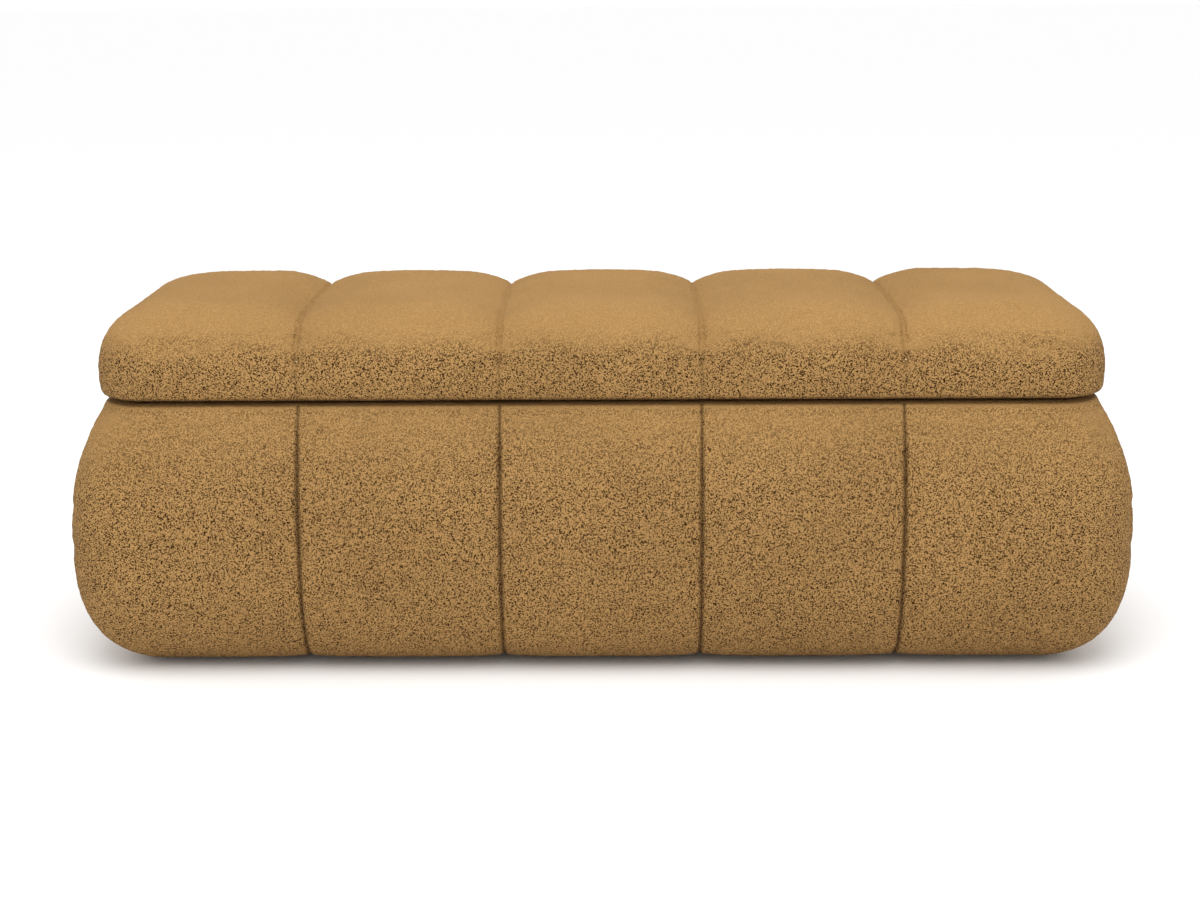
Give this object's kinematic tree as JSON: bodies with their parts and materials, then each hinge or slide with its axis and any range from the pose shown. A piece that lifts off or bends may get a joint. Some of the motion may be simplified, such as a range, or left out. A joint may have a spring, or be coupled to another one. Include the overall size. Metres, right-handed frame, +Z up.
{
  "type": "storage ottoman",
  "caption": "Long upholstered storage ottoman with a barrel-shaped padded body and a channelled lid on a rear hinge with gas struts.",
  "frame": {"origin": "on the floor under the middle of the body, at the bottom centre of its box", "axes": "+X along the length, to the right seen from the front; the front faces -Y; +Z up"},
  "size_m": [1.4, 0.5, 0.4855],
  "materials": {
    "boucle": "looped boucle, ochre",
    "foam": "cut polyurethane foam",
    "lining_cloth": "black twill lining",
    "dust_cloth": "black spun-bonded cloth",
    "plywood": "raw birch plywood",
    "particleboard": "raw particleboard",
    "pine": "planed pine",
    "glide_plastic": "moulded black nylon",
    "bumper_rubber": "black rubber",
    "black_steel": "black powder coat",
    "strut_enamel": "satin black enamel",
    "strut_plastic": "black nylon",
    "bright_rod": "ground and chromed rod",
    "zinc_steel": "bright zinc plate"
  },
  "bodies": {
    "base": {"floor_board": "plywood", "front_board": "particleboard", "back_board": "particleboard", "left_end_board": "particleboard", "right_end_board": "particleboard", "hinge_rail": "pine", "plinth_long_rails": "pine", "plinth_cross_rails": "pine", "carcass_dowels": "pine", "carcass_screws": "zinc_steel", "floor_screws": "zinc_steel", "plinth_screws": "zinc_steel", "front_channel_pad_1": "foam", "front_channel_pad_2": "foam", "front_channel_pad_3": "foam", "front_channel_pad_4": "foam", "front_channel_pad_5": "foam", "back_channel_pad_1": "foam", "back_channel_pad_2": "foam", "back_channel_pad_3": "foam", "back_channel_pad_4": "foam", "back_channel_pad_5": "foam", "left_end_pad": "foam", "right_end_pad": "foam", "body_cover": "boucle", "storage_lining": "lining_cloth", "dust_cover": "dust_cloth", "glides": "glide_plastic", "glide_screws": "zinc_steel", "hinge_base_leaves": "zinc_steel", "hinge_pins": "zinc_steel", "hinge_base_screws": "zinc_steel", "strut_base_brackets": "black_steel", "strut_base_screws": "zinc_steel"},
    "lid": {"lid_board": "particleboard", "lid_core_foam": "foam", "lid_channel_pad_1": "foam", "lid_channel_pad_2": "foam", "lid_channel_pad_3": "foam", "lid_channel_pad_4": "foam", "lid_channel_pad_5": "foam", "lid_cover": "boucle", "lid_lining": "lining_cloth", "hinge_lid_leaves": "zinc_steel", "hinge_lid_screws": "zinc_steel", "strut_lid_brackets": "black_steel", "strut_lid_screws": "zinc_steel", "lid_bumpers": "bumper_rubber"},
    "strut_cylinder_left": {"strut_socket_lower_left": "strut_plastic", "strut_tube_left": "strut_enamel", "strut_gland_left": "strut_plastic"},
    "strut_piston_left": {"strut_rod_left": "bright_rod", "strut_socket_upper_left": "strut_plastic"},
    "strut_cylinder_right": {"strut_socket_lower_right": "strut_plastic", "strut_tube_right": "strut_enamel", "strut_gland_right": "strut_plastic"},
    "strut_piston_right": {"strut_rod_right": "bright_rod", "strut_socket_upper_right": "strut_plastic"}
  },
  "joints": [
    {"name": "lid_hinge", "type": "hinge", "parent": "base", "child": "lid", "pos_m": [0, 0.207, 0.3645], "axis": [-1, 0, 0], "range_deg": [0, 85]},
    {"name": "strut_cylinder_left_swing", "type": "hinge", "parent": "base", "child": "strut_cylinder_left", "pos_m": [-0.595, 0.12646, 0.13312], "axis": [-1, 0, 0], "range_deg": [0, 42.5]},
    {"name": "strut_piston_left_swing", "type": "hinge", "parent": "lid", "child": "strut_piston_left", "pos_m": [-0.595, -0.03771, 0.3525], "axis": [-1, 0, 0], "range_deg": [-42.5, 0]},
    {"name": "strut_cylinder_right_swing", "type": "hinge", "parent": "base", "child": "strut_cylinder_right", "pos_m": [0.595, 0.12646, 0.13312], "axis": [-1, 0, 0], "range_deg": [0, 42.5]},
    {"name": "strut_piston_right_swing", "type": "hinge", "parent": "lid", "child": "strut_piston_right", "pos_m": [0.595, -0.03771, 0.3525], "axis": [-1, 0, 0], "range_deg": [-42.5, 0]}
  ],
  "couplings": [
    {"joint": "strut_cylinder_left_swing", "follows": "lid_hinge", "ratio": 0.5},
    {"joint": "strut_piston_left_swing", "follows": "lid_hinge", "ratio": -0.5},
    {"joint": "strut_cylinder_right_swing", "follows": "lid_hinge", "ratio": 0.5},
    {"joint": "strut_piston_right_swing", "follows": "lid_hinge", "ratio": -0.5}
  ]
}
